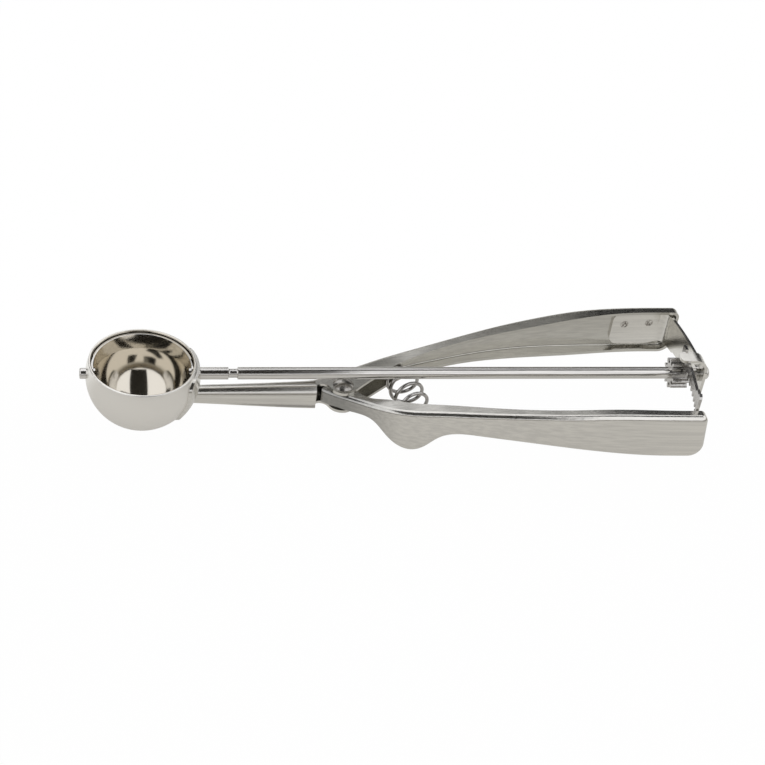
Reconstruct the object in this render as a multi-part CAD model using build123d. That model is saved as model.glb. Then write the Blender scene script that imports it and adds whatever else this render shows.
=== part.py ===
# Lever ice cream scoop, millimetres.
# X runs along the drive rod from the bowl to the grips, Z points up out of the bowl,
# Y points across the grips towards the fixed one. While it is drawn, the drive rod lies on
# the X axis and the bowl is centred on X = 0.
from build123d import *
import math
import os

os.makedirs("parts", exist_ok=True)


# bowl
BOWL_R = 17.8                   # outside radius
BOWL_T = 0.9                    # sheet
BOWL_DROP = 0.6                 # ball centre below the rod axis
RIM_Z = 4.65                    # rim above the rod axis
STUB = 1.85                     # front pin beyond the bowl
SADDLE_T = 0.8
SADDLE_ANGLE = 37.0             # half the arc that the saddle covers
SADDLE_TOP, SADDLE_BOTTOM = 3.6, -12.2

# drive rod
ROD_D = 4.0
SPIGOT_D = 2.4                  # riveted through the blade
NECK_X, NECK_L, NECK_D = 27.4, 3.1, 2.9
JOURNAL_D = 3.0
ROD_END = 2.85                  # rod beyond the gear bracket
RUN = 0.05                      # radial running clearance

# sweep blade
BLADE_GAP = 0.7                 # between the blade and the bowl
BLADE_R = BOWL_R - BOWL_T - BLADE_GAP
BLADE_T = 0.7
BLADE_W = 6.0
BLADE_TILT = 3.0                # degrees above level at rest
PIN_D = 3.5
RIVETED_D, RIVETED_H = 3.6, 0.7     # spread ends inside the blade

# pivot
PIVOT_X = 65.5
RIVET_D, HEAD_D, HEAD_H = 3.6, 6.9, 1.3
EAR_TOP, EAR_BOTTOM = -4.85, -13.05
EAR_R = 4.65
SHEET = 1.0

# gear bracket: plate welded inside the fixed grip, web across the end, tab folded over the rack
WEB_R, WEB_T = 122.0, 1.0       # outside radius about the pivot
WEB_TOP, WEB_BOTTOM, WEB_END = 3.75, -6.8, -5.5
TAB_TOP, TAB_BEND, TAB_LENGTH = 9.25, 5.0, 9.9
TAB_FRONT, TAB_REAR = -5.2, -0.4
PLATE_LEFT, PLATE_BOTTOM = 162.9, -9.75
WASHER_D, WASHER_T = 5.6, 1.2
WELDS = [(168.4, -1.0), (177.3, -0.5)]

# pinion and rack
MODULE, TEETH = 0.87, 10
RACK_T = 1.0
RACK_R = WEB_R - 7.0            # middle radius about the pivot
STROKE = 7.05                   # lever travel in degrees
RACK_LEFT, RACK_TOP, RACK_ROOT = 158.5, 8.0, 10.5
PINION_X, PINION_L = PIVOT_X + RACK_R - 4.0, 5.7
FLANK_GAP, BACKLASH = 0.05, 0.04
LUG_FRONT, LUG_REAR, LUG_TOP = -0.35, 2.2, 10.2     # lug that stops the return
STOP_GAP = 0.06                 # left between the rack's step and the tab when squeezed

# spring
WIRE = 1.2
TURNS, FIRST_TURN = 7, 0.66     # first turn starts this far round from the top
COIL_X, COIL_YAW = 87.5, 0.15   # axis crosses Y = -1.3 here and turns this much
COIL_Z, COIL_SAG = -7.75, 0.6
COIL_R, COIL_END_R = 5.0, 2.0   # middle of the barrel and its ends
COIL_FULL = 6.6                 # Y out to which the barrel is full
TAPER_REAR, TAPER_LEVER = 3.4, 4.5
SEAT_LEVER, SEAT_REAR = -15.15, 13.9

# grips: outside face in plan, inner edge of the flanges in plan, top edge, bottom edge
DRAWN_PIVOT, DRAWN_WEB = 65.5, 122.0        # the sizes these outlines are drawn for
REAR_END, LEVER_END = (187.0, 186.6), (180.5, 182.2)        # end wall at its top and its bottom
END_TOP_R, END_LOW_R = 2.3, 4.8
REAR_BACK = [(12, 1.85), (35, 2.35), (50, 2.85), (57, 3.7), (63, 6.3), (72, 10.7), (80, 14.2), (94, 18.0),
             (108, 21.4), (122, 24.5), (136, 27.0), (150, 28.7), (164, 29.7), (176, 30.05), (195, 30.1)]
REAR_LIP = [(195, 25.8), (178, 26.3), (164, 25.6), (150, 23.6), (136, 21.6), (122, 19.6), (108, 17.2),
            (97, 14.3), (87, 10.6), (80, 6.3), (74.7, 2.2)]
REAR_TOP = [(8, -5.9), (35, -5.3), (56, -4.86), (65, -4.85), (73, -4.85), (80, -4.6), (87, -3.85), (94, -2.75),
            (108, -0.65), (122, 1.4), (136, 3.15), (150, 4.7), (164, 5.3), (178, 5.4)]
REAR_LOW = [(8, -11.3), (35, -12.3), (56, -13.03), (65, -13.05), (73, -13.05), (80, -12.6), (90, -11.2),
            (101, -10.4), (115, -10.0), (129, -10.2), (143, -10.9), (157, -11.55), (171, -11.8)]
LEVER_BACK = [(58.4, -1.2), (62.5, -3.8), (66.5, -5.9), (71, -8.4), (75.5, -11.2), (80, -13.8), (87, -16.3),
              (94, -18.0), (108, -21.4), (122, -24.5), (136, -27.0), (150, -28.7), (164, -29.7), (176, -30.05),
              (195, -30.1)]
LEVER_LIP = [(195, -25.8), (178, -26.1), (171, -26.0), (157, -25.1), (145, -24.0), (124, -20.9), (109.6, -17.2),
             (100, -14.4), (91.8, -12.2), (88.4, -11.2), (84.4, -9.7), (80.7, -8.1), (77.4, -7.0), (74.2, -6.0),
             (71.3, -4.0)]
LEVER_TOP = [(50, -5.9), (62, -5.9), (68, -5.9), (74, -5.7), (80, -4.8), (87, -3.85), (94, -2.75), (108, -0.65),
             (122, 1.4), (136, 3.15), (150, 4.7), (164, 5.3), (174, 5.4)]
LEVER_LOW = [(50, -12.0), (62, -12.0), (68, -11.9), (72, -11.6), (74.5, -12.0), (77, -13.9), (80, -16.9),
             (83.5, -19.2), (87, -19.9), (90.5, -18.7), (94, -15.2), (97.4, -12.0), (101, -10.6), (108, -10.0),
             (115, -9.9), (129, -10.0), (143, -10.6), (157, -11.3), (170, -11.6)]
BOSS_R = 4.3                    # lever's plates round the rivet


def reach(x):
    # X of a place on an outline, moved with the pivot and the gear bracket
    if x < DRAWN_PIVOT:
        return x * PIVOT_X / DRAWN_PIVOT
    return PIVOT_X + (x - DRAWN_PIVOT) * WEB_R / DRAWN_WEB


def rodX(d, x0, x1, y=0.0, z=0.0):
    return Pos((x0 + x1) / 2, y, z) * (Rot(0, 90, 0) * Cylinder(d / 2, abs(x1 - x0)))


def postZ(d, z0=-30.0, z1=20.0):
    return Pos(PIVOT_X, 0, (z0 + z1) / 2) * Cylinder(d / 2, abs(z1 - z0))


def plan(points):
    return [(x, y, 0) for x, y in points]


def side(points):
    return [(x, 0, z) for x, z in points]


def reached(points):
    return [(reach(x), v) for x, v in points]


def loop(*runs):
    # face inside a closed outline of curves, each joined to the next by a straight line
    curves = [run if isinstance(run, Edge) else Spline(*run) if len(run) > 2 else Line(*run) for run in runs]
    edges = []
    for here, after in zip(curves, curves[1:] + curves[:1]):
        edges.append(here)
        if ((here @ 1) - (after @ 0)).length > 1e-6:
            edges.append(Line(here @ 1, after @ 0))
    return make_face(edges)


def standing(face, z0=-30.0, z1=20.0):
    return Pos(0, 0, z0) * extrude(face, amount=z1 - z0, dir=(0, 0, 1))


def across(face, y0=-45.0, y1=45.0):
    return Pos(0, y0, 0) * extrude(face, amount=y1 - y0, dir=(0, 1, 0))


def onCircle(cx, cy, r, a):
    return (cx + r * math.cos(math.radians(a)), cy + r * math.sin(math.radians(a)), 0)


def arc(cx, cy, r, a0, a1):
    # plan arc round a centre, angles in degrees from +X
    return ThreePointArc(*[onCircle(cx, cy, r, a) for a in (a0, (a0 + a1) / 2, a1)])


def rounded(a, b, c, r):
    # arc that rounds the corner b on the way from a to c
    b = Vector(*b)
    u, v = (Vector(*a) - b).normalized(), (Vector(*c) - b).normalized()
    half = math.acos(u.dot(v)) / 2
    return ThreePointArc(b + u * (r / math.tan(half)), b + (u + v).normalized() * (r / math.sin(half) - r),
                         b + v * (r / math.tan(half)))


def beside(points, d, steps=60):
    # the curve through points, moved d to the left of the way it runs
    edge = Spline(*plan(points))
    out = []
    for i in range(steps + 1):
        p, t = edge @ (i / steps), edge % (i / steps)
        out.append((round(p.X - t.Y * d, 4), round(p.Y + t.X * d, 4)))
    return out


def channelSide(top, low, end, inset=0.0):
    # side view of a grip with its rounded end, or of the hollow that lies inset from it
    top, low = reached(top), reached(low)
    a, b = (reach(end[0]) - inset, 0, top[-1][1] - inset), (reach(end[1]) - inset, 0, low[-1][1] + inset)
    if inset:
        top, low = beside(top, -inset), beside(low, inset)
    level = (1, 0, 0)
    upper, lower = (Spline(*side(run), tangents=[level, level]) for run in (top, low))
    edges = [upper, rounded((a[0] - 20, 0, a[2]), a, b, END_TOP_R - inset),
             rounded(a, b, (b[0] - 20, 0, b[2]), END_LOW_R - inset)]
    edges[2:2] = [Line(edges[1] @ 1, edges[2] @ 0)]
    edges[1:1] = [Line(upper @ 1, edges[1] @ 0)]
    edges += [Line(edges[-1] @ 1, lower @ 1), lower, Line(lower @ 0, upper @ 0)]
    return make_face(edges)


def edgesAt(solid, *spots):
    return [min(solid.edges(), key=lambda e: e.distance_to(Vertex(*s))) for s in spots]


# bowl: a deep cap of a ball, with a hole at each end of the blade's axis
def ball(r):
    return Pos(0, 0, -BOWL_DROP) * Sphere(r)


far_out = 2 * BOWL_R
rod_hole = rodX(ROD_D + 2 * RUN, BOWL_R / 2, far_out)
above_rim = Pos(0, 0, RIM_Z + far_out / 2) * Box(2 * far_out, 2 * far_out, far_out)
bowl = ball(BOWL_R) - ball(BOWL_R - BOWL_T) - above_rim
bowl = fillet([e for e in bowl.edges() if abs((e @ 0.5).Z - RIM_Z) < 0.01], 0.3)
bowl -= rod_hole + rodX(PIN_D + 2 * RUN, -far_out, -BOWL_R / 2)

# saddle: pressed plate between the bowl and the shank
saddle_height = SADDLE_TOP - SADDLE_BOTTOM
saddle_width = 2 * (BOWL_R + SADDLE_T) * math.sin(math.radians(SADDLE_ANGLE))
saddle = Rot(0, 90, 0) * extrude(RectangleRounded(saddle_height, saddle_width, 4.0), far_out)
saddle = Pos(0, 0, (SADDLE_TOP + SADDLE_BOTTOM) / 2) * saddle & (ball(BOWL_R + SADDLE_T) - ball(BOWL_R))
saddle -= rod_hole

# fixed arm: tubular shank, a pair of ears at the pivot and a channel for the back grip
rear_back = reached(REAR_BACK)
outline = loop(plan(rear_back), plan(reached(REAR_LIP)) + [onCircle(PIVOT_X, 0, EAR_R, -35)],
               arc(PIVOT_X, 0, EAR_R, -35, -160),
               [(PIVOT_X - dx, y, 0) for dx, y in ((4.6, -1.2), (6.0, 0.1), (7.8, 0.3), (8.9, -1.2))],
               [(PIVOT_X - 9.0, -3.0, 0), (rear_back[0][0], -rear_back[0][1], 0)])
arm = standing(outline) & across(channelSide(REAR_TOP, REAR_LOW, REAR_END))
arm = fillet(edgesAt(arm, (reach(96.5), 18.6, -2.4)), 1.6)
arm = fillet(edgesAt(arm, (reach(34.2), -2.4, -5.3), (reach(34.2), -2.4, -12.3)), 1.2)
inside = beside(rear_back, -SHEET)
bore = loop(plan(inside), [(inside[-1][0], -35, 0), (PIVOT_X - 8.3, -35, 0)],
            [(PIVOT_X - 8.3, -2.05, 0), (inside[0][0], SHEET - rear_back[0][1], 0)])
bore = standing(bore) & across(channelSide(REAR_TOP, REAR_LOW, REAR_END, SHEET))
bore = fillet(edgesAt(bore, (reach(96.5), 17.5, -3.4)), 0.5)
fixed_arm = arm - bore - ball(BOWL_R + SADDLE_T) - postZ(RIVET_D)

# moving arm: the same channel turned to face it, with the finger lobe below
lever_back = reached(LEVER_BACK)
outline = loop(plan(lever_back), plan(reached(LEVER_LIP)) + [onCircle(PIVOT_X, 0, BOSS_R, -15)],
               arc(PIVOT_X, 0, BOSS_R, -15, 170), [(PIVOT_X - 5.9, 0.3, 0), (PIVOT_X - 6.9, -0.3, 0)])
arm = standing(outline) & across(channelSide(LEVER_TOP, LEVER_LOW, LEVER_END))
arm = fillet(edgesAt(arm, (reach(108), -21.4, -0.7)), 1.8)
inside = beside(lever_back, SHEET)
bore = loop(plan(inside), [(inside[-1][0], 35, 0), (PIVOT_X - 25, 35, 0)],
            [(PIVOT_X - 25, inside[0][1], 0), (PIVOT_X - 15, inside[0][1], 0)])
bore = standing(bore) & across(channelSide(LEVER_TOP, LEVER_LOW, LEVER_END, SHEET))
bore = fillet(edgesAt(bore, (reach(108), -20.4, -1.7)), 0.8)
moving_arm = arm - bore - postZ(RIVET_D + 2 * RUN)

# rivet through both ears and the moving arm
dome_r = (HEAD_H ** 2 + (HEAD_D / 2) ** 2) / (2 * HEAD_H)
dome = Pos(0, 0, HEAD_H - dome_r) * Sphere(dome_r) & Pos(0, 0, HEAD_H / 2) * Cylinder(HEAD_D / 2, HEAD_H)
pivot_rivet = (postZ(RIVET_D, EAR_BOTTOM - 0.2, EAR_TOP + 0.2) + Pos(PIVOT_X, 0, EAR_TOP + 0.03) * dome
               + Pos(PIVOT_X, 0, EAR_BOTTOM - 0.04) * (Rot(180, 0, 0) * dome))

# sweep blade: half a hoop that hugs the bowl
hoop = extrude(Circle(BLADE_R) - Circle(BLADE_R - BLADE_T), BLADE_W / 2, both=True)
ends = Pos(0, far_out / 2, 0) * Box(2 * far_out, far_out, BLADE_W) + rodX(BLADE_W, -far_out, far_out)
blade = Rot(BLADE_TILT, 0, 0) * (hoop & ends)
sweep_blade = blade - rodX(SPIGOT_D + 0.04, -far_out, far_out)

# drive rod, riveted to the blade at one end and carried by the gear bracket at the other
web_face = PIVOT_X + WEB_R
rod_tip = web_face + ROD_END
blade_in = BLADE_R - BLADE_T
drive_rod = (rodX(ROD_D, BLADE_R + 0.05, PINION_X) + rodX(SPIGOT_D, blade_in - 0.3, BLADE_R + 2)
             + (rodX(RIVETED_D, blade_in - RIVETED_H, blade_in) - blade)
             + rodX(JOURNAL_D, PINION_X - 1, web_face + RUN + 0.5))
tip = Pos(web_face + RUN, 0, 0) * (Rot(0, 90, 0) * extrude(Circle(2.3), ROD_END - RUN))
drive_rod += fillet([e for e in tip.edges() if abs((e @ 0.5).X - rod_tip) < 0.01], 1.2)
neck = rodX(2 * ROD_D, NECK_X, NECK_X + NECK_L) - rodX(NECK_D, NECK_X - 1, NECK_X + NECK_L + 1)
neck_edges = [e for e in neck.edges() if abs((e @ 0).Y ** 2 + (e @ 0).Z ** 2 - (NECK_D / 2) ** 2) < 0.01]
drive_rod -= fillet(neck_edges, 0.5)

# front pin, riveted to the other end of the blade
pin_tip = -BOWL_R - STUB
front_pin = (rodX(PIN_D, pin_tip, -BLADE_R - 0.05) + rodX(SPIGOT_D, -BLADE_R - 1, -blade_in + 0.3)
             + (rodX(RIVETED_D, -blade_in, -blade_in + RIVETED_H) - blade))
front_pin = fillet([e for e in front_pin.edges() if abs((e @ 0.5).X - pin_tip) < 0.01], 0.4)
front_pin -= rodX(1.8, pin_tip - 1, pin_tip + 0.5)

# pinion: each gap is the path of one rack tooth rolling past
pitch_r = MODULE * TEETH / 2
pitch = math.pi * MODULE
lean = math.tan(math.radians(20))


def rackTooth(wider, tip_z, root_z):
    # one tooth of the rack on the Y, Z plane drawn as x, y
    def half(z):
        return pitch / 4 + wider + (z - pitch_r) * lean
    return Polygon((-half(tip_z), tip_z), (half(tip_z), tip_z), (half(root_z), root_z), (-half(root_z), root_z),
                   align=None)


gap = Sketch()
for step in range(-6, 7):
    roll = 6.0 * step
    gap += Rot(0, 0, roll) * (Pos(math.radians(roll) * pitch_r, 0) * rackTooth(FLANK_GAP, 3.2, 7.0))
wheel = Circle(pitch_r + MODULE) - Circle(JOURNAL_D / 2)
for tooth in range(TEETH):
    wheel -= Rot(0, 0, 360 / TEETH * tooth) * gap
pinion = Pos(PINION_X, 0, 0) * extrude(Plane.YZ * wheel, PINION_L)

# washer between the pinion and the gear bracket
washer_end = web_face - WEB_T - 0.1
end_washer = rodX(WASHER_D, washer_end - WASHER_T, washer_end) - rodX(JOURNAL_D, washer_end - 5, washer_end + 5)


def sheetPlan(wall, y_side, r_mid, sheet, bend, a_free):
    # plan of a strip that lies along a wall, bends and runs round the pivot
    r_far = r_mid + sheet / 2
    foot = wall[-1][1] - y_side * bend
    bend_x = PIVOT_X + math.sqrt(r_far ** 2 - foot ** 2) - bend
    a_foot = math.degrees(math.atan2(foot, bend_x + bend - PIVOT_X))
    outer = [p for p in wall if p[0] < bend_x - 0.6] + [(bend_x, foot + y_side * bend)]
    inner = beside(outer, -y_side * sheet)[:-1] + [(bend_x, foot + y_side * (bend - sheet))]
    return loop(plan(outer), arc(bend_x, foot, bend, 90 * y_side, 0),
                arc(PIVOT_X, 0, r_far, a_foot, a_free), arc(PIVOT_X, 0, r_far - sheet, a_free, a_foot),
                arc(bend_x, foot, bend - sheet, 0, 90 * y_side), plan(inner[::-1]))


def along(points):
    # outline on Y and Z run along X
    face = make_face([Line((0, *a), (0, *b)) for a, b in zip(points, points[1:] + points[:1])])
    return extrude(face, amount=3 * WEB_R, dir=(1, 0, 0))


def roundedFoot(solid, low_r, top_r):
    # rounds the two free corners of the flange that lies along the wall
    for r, pick in ((low_r, min), (top_r, max)):
        start = solid.bounding_box().min.X
        corners = [e for e in solid.edges() if (e @ 0.5).X < start + 0.6 and e.length < 1.6]
        solid = fillet([pick(corners, key=lambda e: (e @ 0.5).Z)], r)
    return solid


# rack: toothed sector over the pinion, turned in along the moving arm's wall
tip_z, root_z = pitch_r - MODULE, pitch_r + 1.25 * MODULE
rack_out = RACK_R + RACK_T / 2
step_y = rack_out * math.sin(math.asin((TAB_FRONT - STOP_GAP) / rack_out) - math.radians(STROKE))
wall = [q for q in beside(lever_back, SHEET + 0.02) if reach(RACK_LEFT) < q[0] < reach(176)]
strip = standing(sheetPlan(wall, -1, RACK_R, RACK_T, 3.1, math.degrees(math.asin(LUG_REAR / RACK_R))))
rack = strip & along([(5, tip_z), (5, LUG_TOP), (LUG_FRONT, LUG_TOP), (LUG_FRONT, RACK_TOP), (step_y, RACK_TOP),
                      (step_y - 0.3, 9.1), (-22.9, 9.6), (-23.6, RACK_ROOT), (-25.2, RACK_ROOT), (-25.7, 9.8),
                      (-25.7, 3.1), (-40, 3.1), (-40, -6.2), (-25.4, -6.2), (-24.6, -2.5), (-23.4, 2.4),
                      (-22.9, tip_z)])


def gapHalf(z):
    return pitch / 4 + BACKLASH - (z - pitch_r) * lean


gap_shape = Polygon((-gapHalf(tip_z), tip_z), (gapHalf(tip_z), tip_z), (gapHalf(root_z), root_z),
                    (-gapHalf(root_z), root_z), align=None)
cut = extrude(Plane.YZ * gap_shape, 2 * RACK_R)
for k in range(-9, 1):
    rack -= Pos(PIVOT_X, 0, 0) * (Rot(0, 0, math.degrees((k + 0.5) * pitch / RACK_R)) * cut)
rack = roundedFoot(rack, 2.5, 2.5)

# gear bracket
wall = [q for q in beside(rear_back, -SHEET - 0.02) if reach(PLATE_LEFT) < q[0] < reach(182)]
strip = standing(sheetPlan(wall, 1, WEB_R - WEB_T / 2, WEB_T, 4.0, math.degrees(math.asin(WEB_END / WEB_R))))
fold_z = TAB_TOP - TAB_BEND
bracket = strip & along([(40, 12), (TAB_REAR, 12), (TAB_REAR, fold_z - 0.05), (TAB_FRONT, fold_z - 0.05),
                         (WEB_END - 1, 3.6), (WEB_END - 1, -3.4), (-4.2, -5.6), (-1.8, WEB_BOTTOM),
                         (20, WEB_BOTTOM), (23, 2 * PLATE_BOTTOM), (40, 2 * PLATE_BOTTOM)])
plate_side = side(reached([(150, 2.5), (172, WEB_TOP), (195, WEB_TOP), (195, WEB_BOTTOM), (188, WEB_BOTTOM),
                           (184, -7.6), (177, PLATE_BOTTOM), (150, PLATE_BOTTOM)]))
plate = across(make_face([Line(a, b) for a, b in zip(plate_side, plate_side[1:] + plate_side[:1])]))
tab_root = Pos(web_face, (WEB_END + TAB_REAR) / 2, WEB_TOP) * Box(20, TAB_REAR - WEB_END, 10)
bracket = roundedFoot(bracket & (plate + tab_root), 4.0, 2.5)
mid = (TAB_FRONT + TAB_REAR) / 2
far = math.sqrt(WEB_R ** 2 - mid ** 2)
near = far - WEB_T
tab_left = far - TAB_LENGTH
fold = loop([(far, 0, fold_z - 1.5), (far, 0, fold_z)],
            rounded((far, 0, 0), (far, 0, TAB_TOP), (0, 0, TAB_TOP), TAB_BEND),
            [(tab_left, 0, TAB_TOP), (tab_left, 0, TAB_TOP - WEB_T)],
            rounded((0, 0, TAB_TOP - WEB_T), (near, 0, TAB_TOP - WEB_T), (near, 0, 0), TAB_BEND - WEB_T),
            [(near, 0, fold_z - 0.2), (near, 0, fold_z - 1.5)])
tab = across(fold, TAB_FRONT - mid, TAB_REAR - mid)
tab = fillet([e for e in tab.edges() if abs((e @ 0.5).X - tab_left) < 0.01 and abs(e.length - WEB_T) < 0.01
              and abs((e @ 0).Z - (e @ 1).Z) > 0.5], 1.6)
gear_bracket = bracket + Pos(PIVOT_X, mid, 0) * tab - rodX(JOURNAL_D + 2 * RUN, web_face - 5, web_face + 5)
for x, z in reached(WELDS):
    y = [q[1] for q in wall if q[0] < x + 1][-1]
    gear_bracket -= Pos(x, y - WEB_T - 3.0 + 0.25, z) * (Rot(90, 0, 0) * Cylinder(1.3, 6.0))

# return spring: barrel coil between the two grips, its ends turned to lie along the walls
coil = []
steps = 10
end_rise = 1.6                  # of each end turn
rise = (SEAT_REAR - SEAT_LEVER - 2 * end_rise) / (TURNS - 2)
for i in range(TURNS * steps + 1):
    t = i / steps
    if t < 1:
        y = SEAT_LEVER + end_rise * t
    elif t > TURNS - 1:
        y = SEAT_REAR - end_rise * (TURNS - t)
    else:
        y = SEAT_LEVER + end_rise + rise * (t - 1)
    taper = min(1, max(0, (abs(y) - COIL_FULL) / (TAPER_REAR if y > 0 else TAPER_LEVER)))
    swell = 0.5 + 0.5 * math.cos(math.pi * taper)
    r = COIL_END_R + (COIL_R - COIL_END_R) * swell
    a = 2 * math.pi * (t + FIRST_TURN)
    dx = r * math.sin(a)
    at_wall = (y / (SEAT_REAR if y > 0 else SEAT_LEVER)) ** 4
    x = reach(COIL_X - COIL_YAW * (y + 1.3)) + dx
    y += dx * (COIL_YAW * (1 - at_wall) + math.copysign(0.26, y) * at_wall)
    coil.append((x, y, COIL_Z - COIL_SAG * swell + r * math.cos(a)))
wire = Spline(*coil)
return_spring = sweep(Plane(wire @ 0, z_dir=wire % 0) * Circle(WIRE / 2), wire)

pieces = {
    "bowl": bowl, "bowl_saddle": saddle, "fixed_arm": fixed_arm, "moving_arm": moving_arm,
    "pivot_rivet": pivot_rivet, "drive_rod": drive_rod, "sweep_blade": sweep_blade, "front_pin": front_pin,
    "pinion": pinion, "end_washer": end_washer, "rack": rack, "gear_bracket": gear_bracket,
    "return_spring": return_spring,
}
boxes = [piece.bounding_box() for piece in pieces.values()]
middle = [(min(getattr(b.min, k) for b in boxes) + max(getattr(b.max, k) for b in boxes)) / 2 for k in "XY"]
bottom = min(b.min.Z for b in boxes)
for name, piece in pieces.items():
    export_step(Pos(-middle[0], -middle[1], -bottom) * piece, f"parts/{name}.step")
print("frame shift", -middle[0], -middle[1], -bottom)
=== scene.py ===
# Squeeze-handle ice cream scoop: finishes, return spring, studio and camera.
import math

import bmesh
import bpy
from mathutils import Matrix, Vector


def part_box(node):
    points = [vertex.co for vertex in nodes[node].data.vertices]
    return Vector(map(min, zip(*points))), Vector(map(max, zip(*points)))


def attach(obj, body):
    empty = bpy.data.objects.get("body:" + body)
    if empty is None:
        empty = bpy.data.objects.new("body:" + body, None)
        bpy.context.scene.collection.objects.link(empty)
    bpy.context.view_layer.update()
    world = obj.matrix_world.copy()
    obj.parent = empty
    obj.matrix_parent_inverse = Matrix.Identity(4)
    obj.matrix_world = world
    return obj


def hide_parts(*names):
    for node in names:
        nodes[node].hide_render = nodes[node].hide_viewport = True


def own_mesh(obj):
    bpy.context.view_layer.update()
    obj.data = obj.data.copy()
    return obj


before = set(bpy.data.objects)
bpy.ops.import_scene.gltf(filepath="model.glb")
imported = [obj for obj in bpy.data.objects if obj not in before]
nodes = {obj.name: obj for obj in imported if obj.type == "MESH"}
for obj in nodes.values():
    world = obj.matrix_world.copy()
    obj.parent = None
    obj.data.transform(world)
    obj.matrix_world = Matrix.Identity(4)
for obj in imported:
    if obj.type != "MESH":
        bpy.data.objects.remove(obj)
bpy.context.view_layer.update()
mm = 0.001

# the rod's axis and the bowl's middle in the row frame, which most places are worked out from
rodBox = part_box("drive_rod")
rodZ = (rodBox[0][2] + rodBox[1][2]) / 2
rodY = (rodBox[0][1] + rodBox[1][1]) / 2
bowlX = (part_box("bowl")[0][0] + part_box("bowl")[1][0]) / 2


def linear(hexText):
    # sRGB hex to linear RGBA
    values = [int(hexText[i:i + 2], 16) / 255 for i in (1, 3, 5)]
    return [v / 12.92 if v <= 0.04045 else ((v + 0.055) / 1.055) ** 2.4 for v in values] + [1.0]


def addNode(tree, kind, links=None, **settings):
    # links are {input: socket or value}, settings are the node's own properties
    node = tree.nodes.new(kind)
    for name, value in settings.items():
        setattr(node, name, value)
    for name, value in (links or {}).items():
        if isinstance(value, bpy.types.NodeSocket):
            tree.links.new(value, node.inputs[name])
        else:
            node.inputs[name].default_value = value
    return node


def calc(tree, operation, a, b=0.0):
    return addNode(tree, "ShaderNodeMath", {0: a, 1: b}, operation=operation).outputs[0]


def blended(tree, amount, low, high, blend="MIX"):
    mix = addNode(tree, "ShaderNodeMix", {0: amount, 6: low, 7: high}, data_type="RGBA", blend_type=blend)
    return mix.outputs[2]


def newMaterial(name):
    material = bpy.data.materials.new(name)
    material.use_nodes = True
    material.node_tree.nodes.clear()
    return material


# the shank's sides run into each other with no flat between them
shank = {
    "endX": -28.9, "fromX": -73.35, "toX": -29.35,      # mm, row frame
    "halfWide": (1.9, 3.0),                             # half the thickness at each end
    "halfTall": (2.7, 4.1),
    "middleZ": -8.85,                                   # from the rod's axis
}


def shankNormal(tree, place):
    at = addNode(tree, "ShaderNodeSeparateXYZ", {0: place})
    onShank = calc(tree, "LESS_THAN", at.outputs["X"], shank["endX"] * mm)
    parts = []
    for axis, middle, halves in (("Y", rodY, shank["halfWide"]),
                                 ("Z", rodZ + shank["middleZ"] * mm, shank["halfTall"])):
        half = addNode(tree, "ShaderNodeMapRange", {
            "Value": at.outputs["X"], "From Min": shank["fromX"] * mm, "From Max": shank["toX"] * mm,
            "To Min": halves[0] * mm, "To Max": halves[1] * mm}).outputs[0]
        out = calc(tree, "DIVIDE", calc(tree, "SUBTRACT", at.outputs[axis], middle), half)
        parts.append(calc(tree, "DIVIDE", out, calc(tree, "MULTIPLY", half, 1 / mm)))
    oval = addNode(tree, "ShaderNodeCombineXYZ", {"Y": parts[0], "Z": parts[1]})
    oval = addNode(tree, "ShaderNodeVectorMath", {0: oval.outputs[0]}, operation="NORMALIZE")
    flat = addNode(tree, "ShaderNodeNewGeometry")
    return addNode(tree, "ShaderNodeMix", {
        0: onShank, 4: flat.outputs["Normal"], 5: oval.outputs[0]}, data_type="VECTOR").outputs[1]


# the tab over the rack is folded a little short of level
tab = {
    "fromZ": 8.2,                       # mm above the rod's axis
    "lean": (-0.20, -0.06, 0.0),        # added to its upright normal
}


def tabNormal(tree, place):
    at = addNode(tree, "ShaderNodeSeparateXYZ", {0: place})
    onTab = calc(tree, "GREATER_THAN", at.outputs["Z"], rodZ + tab["fromZ"] * mm)
    flat = addNode(tree, "ShaderNodeNewGeometry")
    lean = addNode(tree, "ShaderNodeVectorMath", {0: tab["lean"], 3: onTab}, operation="SCALE")
    leant = addNode(tree, "ShaderNodeVectorMath", {
        0: flat.outputs["Normal"], 1: lean.outputs[0]}, operation="ADD")
    return addNode(tree, "ShaderNodeVectorMath", {0: leant.outputs[0]}, operation="NORMALIZE").outputs[0]


# painted shade on parts of the arms: their colour is darkened along X, in mm in the row frame
gripPaintedShade = {"plainX": -24.0, "shadedX": -8.0, "tint": "#e4e4e2"}      # fixed arm behind the pivot
neckPaintedShade = {"plainX": -2.0, "shadedX": -20.0, "tint": "#b9babb"}      # lever at the pivot


def paintedShadeTint(fade):
    # painted shade: multiplies the colour towards the tint, from no change at plainX to full at shadedX
    def tinted(tree, place, tint):
        at = addNode(tree, "ShaderNodeSeparateXYZ", {0: place})
        amount = addNode(tree, "ShaderNodeMapRange", {
            "Value": at.outputs["X"], "From Min": fade["plainX"] * mm, "From Max": fade["shadedX"] * mm})
        return blended(tree, amount.outputs[0], tint, linear(fade["tint"]), "MULTIPLY")
    return tinted


# two spot welds show as small brown marks on the bracket's plate, and the plate's edge is darkened with a
# painted shadow
weld = {
    "spots": ((83.05, 18.91), (91.95, 19.41)),      # mm, X and Z in the row frame
    "radius": 1.9,
    "core": 0.4,                # share of the radius that is fully marked
    "cover": 0.9,
    "raggedMm": 0.55,           # size of the gaps in a mark
    "raggedFrom": (0.42, 0.55),
    "tint": "#5a5046",
    "shadowEdgeX": 77.8,              # painted shadow: the plate is darkened up to here
    "shadowEdgeTint": "#54514c",
}


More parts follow.
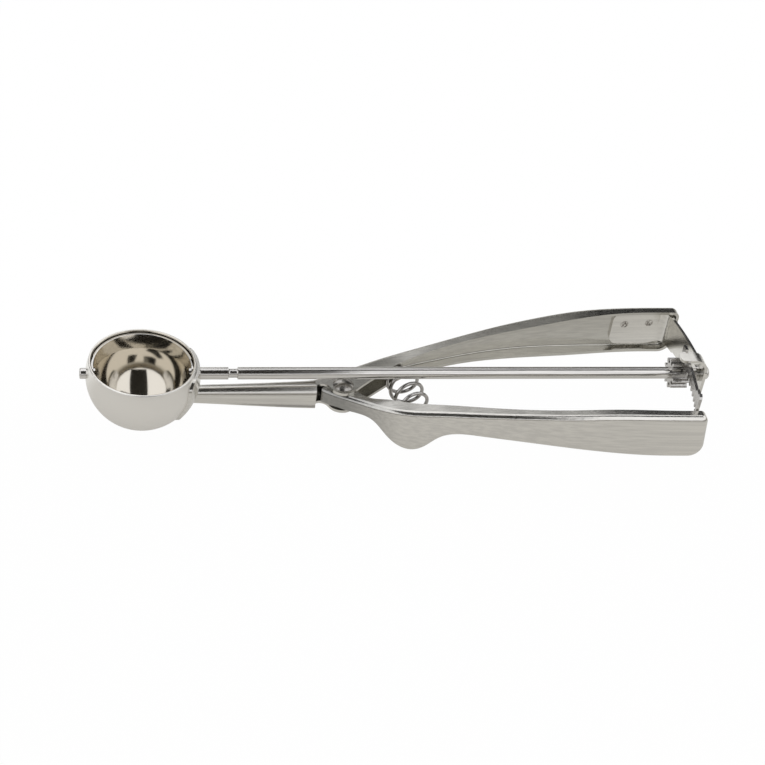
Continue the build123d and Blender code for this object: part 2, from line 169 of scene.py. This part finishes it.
def weldMarksAndEdgeShadow(tree, place, tint):
    at = addNode(tree, "ShaderNodeSeparateXYZ", {0: place})
    flat = addNode(tree, "ShaderNodeCombineXYZ", {"X": at.outputs["X"], "Z": at.outputs["Z"]})
    ragged = addNode(tree, "ShaderNodeTexNoise", {
        "Vector": place, "Scale": 1 / (weld["raggedMm"] * mm), "Detail": 3.0})
    patches = addNode(tree, "ShaderNodeMapRange", {
        "Value": ragged.outputs["Fac"], "From Min": weld["raggedFrom"][0], "From Max": weld["raggedFrom"][1]})
    colour = tint
    for x, z in weld["spots"]:
        away = addNode(tree, "ShaderNodeVectorMath", {
            0: flat.outputs[0], 1: (x * mm, 0, z * mm)}, operation="DISTANCE").outputs["Value"]
        away = calc(tree, "MULTIPLY", away, calc(tree, "ADD", ragged.outputs["Fac"], 0.5))
        amount = addNode(tree, "ShaderNodeMapRange", {
            "Value": away, "From Min": weld["core"] * weld["radius"] * mm, "From Max": weld["radius"] * mm,
            "To Min": weld["cover"], "To Max": 0.0}, interpolation_type="SMOOTHSTEP")
        amount = calc(tree, "MULTIPLY", amount.outputs[0], patches.outputs[0])
        colour = blended(tree, amount, colour, linear(weld["tint"]))
    # painted shadow along the plate's edge
    edge = calc(tree, "LESS_THAN", at.outputs["X"], weld["shadowEdgeX"] * mm)
    return blended(tree, edge, colour, linear(weld["shadowEdgeTint"]))


# what every steel finish shares: how far each noise is stretched in contrast, and how much of the
# sheen's unevenness comes from the clouds
steel = {"cloudShare": 0.6, "sheenFrom": (0.35, 0.65), "streaksFrom": (0.38, 0.62)}


def steelMaterial(name, look, under=None, tinted=None):
    # polished metal: grainMm is drawn coarser than a real polishing mark so that it shows, stretch
    # lengthens it along X, cloudMm is the size of the soft changes in the sheen, and streakMm is the
    # height of the faint lengthwise streaks, also drawn coarser than they are
    material = newMaterial(name)
    tree = material.node_tree
    place = addNode(tree, "ShaderNodeTexCoord").outputs["Object"]

    def noise(sizeMm, stretch, detail):
        along = addNode(tree, "ShaderNodeMapping", {"Vector": place, "Scale": (1 / stretch, 1, 1)})
        return addNode(tree, "ShaderNodeTexNoise", {
            "Vector": along.outputs[0], "Scale": 1 / (sizeMm * mm), "Detail": detail}).outputs["Fac"]

    fine = noise(look["grainMm"], look["stretch"], 2.0)
    broad = noise(look["cloudMm"], 1, 2.0)
    both = addNode(tree, "ShaderNodeMix", {0: steel["cloudShare"], 2: fine, 3: broad}, data_type="FLOAT")
    sheen = addNode(tree, "ShaderNodeMapRange", {
        "Value": both.outputs[0], "From Min": steel["sheenFrom"][0], "From Max": steel["sheenFrom"][1],
        "To Min": look["rough"] - look["spread"], "To Max": look["rough"] + look["spread"]})
    streaks = addNode(tree, "ShaderNodeMapRange", {
        "Value": noise(look["streakMm"], look["streakStretch"], 3.0),
        "From Min": steel["streaksFrom"][0], "From Max": steel["streaksFrom"][1]})
    colour = blended(tree, streaks.outputs[0], linear(look["streakTint"]), linear(look["tint"]))
    # tinted paints shade on the arms, or weld marks and a painted edge shadow on the bracket
    if tinted:
        colour = tinted(tree, place, colour)
    waves = addNode(tree, "ShaderNodeBump", {
        "Height": broad, "Strength": 1.0, "Distance": look["waveMm"] * mm})
    if under:
        tree.links.new(under(tree, place), waves.inputs["Normal"])
    bump = addNode(tree, "ShaderNodeBump", {
        "Height": fine, "Strength": 1.0, "Distance": look["depthMm"] * mm, "Normal": waves.outputs["Normal"]})
    shader = addNode(tree, "ShaderNodeBsdfPrincipled", {
        "Base Color": colour, "Metallic": 1.0, "Roughness": sheen.outputs[0],
        "Normal": bump.outputs["Normal"]})
    addNode(tree, "ShaderNodeOutputMaterial", {"Surface": shader.outputs["BSDF"]})
    return material


# stainless sheet, pressed and then tumbled: soft sheen with gentle unevenness
pressedSteel = {"tint": "#e1dfd9", "streakTint": "#d6d4cf", "streakMm": 0.8, "streakStretch": 90,
                "rough": 0.21, "spread": 0.03, "grainMm": 0.4, "stretch": 3, "cloudMm": 7,
                "depthMm": 0.0006, "waveMm": 0.015}
# bright drawn bar: clear reflections with faint lengthwise lines
drawnSteel = {"tint": "#e0deda", "streakTint": "#cfcdca", "streakMm": 0.5, "streakStretch": 40,
              "rough": 0.16, "spread": 0.03, "grainMm": 0.3, "stretch": 30, "cloudMm": 10,
              "depthMm": 0.0006, "waveMm": 0.002}
# cold rolled strip: mirror bright
stripSteel = {"tint": "#e0deda", "streakTint": "#d3d1cd", "streakMm": 1.0, "streakStretch": 1,
              "rough": 0.09, "spread": 0.02, "grainMm": 0.3, "stretch": 1, "cloudMm": 6,
              "depthMm": 0.0004, "waveMm": 0.004}
# cut teeth: duller and a little darker
milledSteel = {"tint": "#c9c7c4", "streakTint": "#b2b0ad", "streakMm": 0.6, "streakStretch": 1,
               "rough": 0.24, "spread": 0.05, "grainMm": 0.3, "stretch": 1, "cloudMm": 3,
               "depthMm": 0.0007, "waveMm": 0.004}
# coiled wire: bright lines along each turn, on a darker ground
springWire = {"tint": "#bcbab7", "streakTint": "#a5a3a1", "streakMm": 0.8, "streakStretch": 1,
              "rough": 0.11, "spread": 0.03, "grainMm": 0.3, "stretch": 1, "cloudMm": 4,
              "depthMm": 0.0006, "waveMm": 0.002}
# headed rivet: tumbled dull with the arms
rivetSteel = {"tint": "#b4b1ac", "streakTint": "#a09d99", "streakMm": 0.8, "streakStretch": 1,
              "rough": 0.24, "spread": 0.04, "grainMm": 0.3, "stretch": 1, "cloudMm": 3,
              "depthMm": 0.001, "waveMm": 0.006}

# the bowl is spun: satin outside and polished to a mirror inside
bowlLook = {
    "drop": 0.6,                    # mm, ball's centre below the rod's axis
    "wall": (17.2, 17.6),           # mm from the centre, where inside passes into outside
    "inTint": "#d8d2c6", "inRough": 0.10,
    "outTint": "#eeece7", "outRough": 0.30,
}


def bowlMaterial():
    material = newMaterial("stainless_spun_bowl")
    tree = material.node_tree
    centre = (bowlX, rodY, rodZ - bowlLook["drop"] * mm)
    place = addNode(tree, "ShaderNodeTexCoord")
    fromCentre = addNode(tree, "ShaderNodeVectorMath", {
        0: place.outputs["Object"], 1: centre}, operation="DISTANCE")
    isOutside = addNode(tree, "ShaderNodeMapRange", {
        "Value": fromCentre.outputs["Value"],
        "From Min": bowlLook["wall"][0] * mm, "From Max": bowlLook["wall"][1] * mm}).outputs[0]
    rough = addNode(tree, "ShaderNodeMapRange", {
        "Value": isOutside, "To Min": bowlLook["inRough"], "To Max": bowlLook["outRough"]})
    tint = blended(tree, isOutside, linear(bowlLook["inTint"]), linear(bowlLook["outTint"]))
    shader = addNode(tree, "ShaderNodeBsdfPrincipled", {
        "Base Color": tint, "Metallic": 1.0, "Roughness": rough.outputs[0]})
    addNode(tree, "ShaderNodeOutputMaterial", {"Surface": shader.outputs["BSDF"]})
    return material


finishes = {
    "pressedSteel": steelMaterial("stainless_sheet_tumbled", pressedSteel),
    "shankSteel": steelMaterial("stainless_tube_tumbled_painted_shade", pressedSteel, shankNormal, paintedShadeTint(gripPaintedShade)),
    "leverSteel": steelMaterial("stainless_lever_tumbled_painted_shade", pressedSteel, tinted=paintedShadeTint(neckPaintedShade)),
    "weldedSteel": steelMaterial("stainless_sheet_spot_welded_edge_shadow", pressedSteel, tabNormal, weldMarksAndEdgeShadow),
    "drawnSteel": steelMaterial("stainless_bar_drawn", drawnSteel),
    "stripSteel": steelMaterial("stainless_strip_rolled", stripSteel),
    "milledSteel": steelMaterial("stainless_gear_milled", milledSteel),
    "springWire": steelMaterial("stainless_spring_wire", springWire),
    "rivetSteel": steelMaterial("stainless_rivet_headed", rivetSteel),
    "spunSteel": bowlMaterial(),
}
nodeFinish = {
    "bowl": "spunSteel", "bowl_saddle": "pressedSteel", "fixed_arm": "shankSteel",
    "moving_arm": "leverSteel", "gear_bracket": "weldedSteel", "pivot_rivet": "rivetSteel",
    "drive_rod": "drawnSteel", "front_pin": "drawnSteel", "end_washer": "drawnSteel",
    "sweep_blade": "stripSteel", "pinion": "milledSteel", "rack": "milledSteel",
    "return_spring": "springWire",
}
for name, finish in nodeFinish.items():
    for materialSlot in nodes[name].material_slots:
        materialSlot.material = finishes[finish]
print("finishes set")


# the return spring, copied as one smooth piece and carried with the frame; the real spring gives way as the
# lever closes, towards its seat in the fixed arm
coil = {
    "seat": (0.0, 14.7, 0.0),       # mm, row frame
    "keep": 0.88,                   # share of its length left when the lever is shut
    "mergeWithin": 0.001,           # mm
}


def makeCoil():
    bm = bmesh.new()
    bm.from_mesh(nodes["return_spring"].data)
    bmesh.ops.remove_doubles(bm, verts=bm.verts, dist=coil["mergeWithin"] * mm)
    for face in bm.faces:
        face.smooth = True
    mesh = bpy.data.meshes.new("spring_coil")
    bm.to_mesh(mesh)
    bm.free()
    mesh.materials.append(finishes[nodeFinish["return_spring"]])
    piece = bpy.data.objects.new("spring_coil", mesh)
    bpy.context.scene.collection.objects.link(piece)
    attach(piece, "frame")
    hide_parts("return_spring")
    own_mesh(piece)


makeCoil()
print("spring set")


studio = {
    "floorSize": 3.0,           # metres
    "floorGap": 0.3,            # mm below the scoop
    "nearColour": "#d3d1cd",    # floor in front of the scoop
    "farColour": "#f6f6f4",     # floor behind it
    "turnY": (0.0, 0.035),      # where one passes into the other
    "floorWhite": 0.985,        # share of plain white that the camera sees in the floor
    "floorGlow": 0.65,          # share that reflections see without the scoop's own shade
    "lowColour": "#77736c",     # room near the horizon
    "highColour": "#fdfdff",    # softboxes above it
    "highFrom": (0.12, 0.42),   # sine of the elevation where one passes into the other
    "worldStrength": 1.15,
}
# flat dark panels that only reflections see, in metres: one close over the bowl, one overhead and
# three behind
cards = {
    "nearCard": {
        "at": (-0.065, -0.135, 0.245), "aim": (-0.065, 0, 0.02), "size": (0.19, 0.33), "tint": "#2c2a26"},
    "overheadCard": {
        "at": (0.33, 0.09, 0.80), "aim": (0.33, 0, 0), "size": (0.60, 0.36), "tint": "#242423"},
    "flagCard": {
        "at": (0.47, 0.62, 0.50), "aim": (0.05, 0, 0), "size": (0.46, 0.50), "tint": "#1c1c1c"},
    "softFlagCard": {
        "at": (0.17, 0.79, 0.50), "aim": (0.0, 0, 0), "size": (0.28, 0.50), "tint": "#8c8c8a"},
    "leftFlagCard": {
        "at": (-0.55, 0.55, 0.52), "aim": (-0.08, 0, 0), "size": (0.42, 0.50), "tint": "#2a2722"},
}


def stageMesh(name, bm, material):
    mesh = bpy.data.meshes.new(name)
    bm.to_mesh(mesh)
    bm.free()
    mesh.materials.append(material)
    item = bpy.data.objects.new(name, mesh)
    bpy.context.scene.collection.objects.link(item)
    return item


def floorMaterial():
    # paper sweep: white to the camera, toned in what the steel reflects
    material = newMaterial("paper_sweep")
    tree = material.node_tree
    paths = addNode(tree, "ShaderNodeLightPath")
    place = addNode(tree, "ShaderNodeTexCoord")
    split = addNode(tree, "ShaderNodeSeparateXYZ", {0: place.outputs["Object"]})
    behind = addNode(tree, "ShaderNodeMapRange", {
        "Value": split.outputs["Y"], "From Min": studio["turnY"][0], "From Max": studio["turnY"][1]},
        interpolation_type="SMOOTHSTEP")
    colour = blended(tree, behind.outputs[0], linear(studio["nearColour"]), linear(studio["farColour"]))
    paper = addNode(tree, "ShaderNodeBsdfDiffuse", {"Color": colour})
    glow = addNode(tree, "ShaderNodeEmission", {"Color": colour, "Strength": 1.0})
    white = addNode(tree, "ShaderNodeEmission", {"Color": (1, 1, 1, 1), "Strength": 1.0})
    glossy = calc(tree, "MULTIPLY", paths.outputs["Is Glossy Ray"], studio["floorGlow"])
    direct = calc(tree, "MULTIPLY", paths.outputs["Is Camera Ray"], studio["floorWhite"])
    reflected = addNode(tree, "ShaderNodeMixShader", {0: glossy, 1: paper.outputs[0], 2: glow.outputs[0]})
    seen = addNode(tree, "ShaderNodeMixShader", {0: direct, 1: reflected.outputs[0], 2: white.outputs[0]})
    addNode(tree, "ShaderNodeOutputMaterial", {"Surface": seen.outputs[0]})
    return material


def makeFloor():
    bm = bmesh.new()
    bmesh.ops.create_grid(bm, x_segments=1, y_segments=1, size=studio["floorSize"])
    bmesh.ops.translate(bm, verts=bm.verts, vec=(0, 0, -studio["floorGap"] * mm))
    stageMesh("floor", bm, floorMaterial())


def makeWorld():
    world = bpy.data.worlds.new("studio")
    world.use_nodes = True
    world.node_tree.nodes.clear()
    tree = world.node_tree
    paths = addNode(tree, "ShaderNodeLightPath")
    strength = addNode(tree, "ShaderNodeMapRange", {
        "Value": paths.outputs["Is Camera Ray"], "To Min": studio["worldStrength"], "To Max": 1.0})
    place = addNode(tree, "ShaderNodeTexCoord")
    split = addNode(tree, "ShaderNodeSeparateXYZ", {0: place.outputs["Generated"]})
    height = addNode(tree, "ShaderNodeMapRange", {
        "Value": split.outputs["Z"], "From Min": studio["highFrom"][0], "From Max": studio["highFrom"][1]},
        interpolation_type="SMOOTHSTEP")
    height = calc(tree, "MAXIMUM", height.outputs[0], paths.outputs["Is Camera Ray"])
    colour = blended(tree, height, linear(studio["lowColour"]), linear(studio["highColour"]))
    background = addNode(tree, "ShaderNodeBackground", {"Color": colour, "Strength": strength.outputs[0]})
    addNode(tree, "ShaderNodeOutputWorld", {"Surface": background.outputs[0]})
    bpy.context.scene.world = world


def makeCard(name, card):
    material = newMaterial(name + "_paper")
    tree = material.node_tree
    shade = addNode(tree, "ShaderNodeBsdfDiffuse", {"Color": linear(card["tint"])})
    addNode(tree, "ShaderNodeOutputMaterial", {"Surface": shade.outputs[0]})
    bm = bmesh.new()
    bmesh.ops.create_grid(bm, x_segments=1, y_segments=1, size=0.5)
    turn = (Vector(card["aim"]) - Vector(card["at"])).to_track_quat("Z", "Y").to_matrix().to_4x4()
    bm.transform(Matrix.Translation(card["at"]) @ turn @ Matrix.Diagonal((*card["size"], 1, 1)))
    item = stageMesh(name, bm, material)
    item.visible_camera = False
    item.visible_shadow = False
    item.visible_diffuse = False


makeFloor()
makeWorld()
for name, card in cards.items():
    makeCard(name, card)
print("studio set")


# camera, in millimetres and degrees
view = {
    "azimuth": -14.668,
    "elevation": 38.731,
    "roll": 9.175,
    "target": (-6.894, 0.0, 15.885),
    "distance": 588.0,
    "lens": 84.41,
    "sensor": 36,
    "clipStart": 10,
}


def makeCamera():
    azimuth, elevation, roll = (math.radians(view[k]) for k in ("azimuth", "elevation", "roll"))
    back = Vector((math.sin(azimuth) * math.cos(elevation),
                   -math.cos(azimuth) * math.cos(elevation), math.sin(elevation)))
    level = Vector((math.cos(azimuth), math.sin(azimuth), 0))
    upright = back.cross(level)
    right = math.cos(roll) * level + math.sin(roll) * upright
    up = -math.sin(roll) * level + math.cos(roll) * upright
    data = bpy.data.cameras.new("camera")
    data.lens = view["lens"]
    data.sensor_width = view["sensor"]
    data.clip_start = view["clipStart"] * mm
    camera = bpy.data.objects.new("camera", data)
    bpy.context.scene.collection.objects.link(camera)
    place = Vector(view["target"]) * mm + back * view["distance"] * mm
    camera.matrix_world = Matrix.Translation(place) @ Matrix((right, up, back)).transposed().to_4x4()
    bpy.context.scene.camera = camera


makeCamera()
bpy.context.scene.view_settings.view_transform = "Standard"
print("camera set")
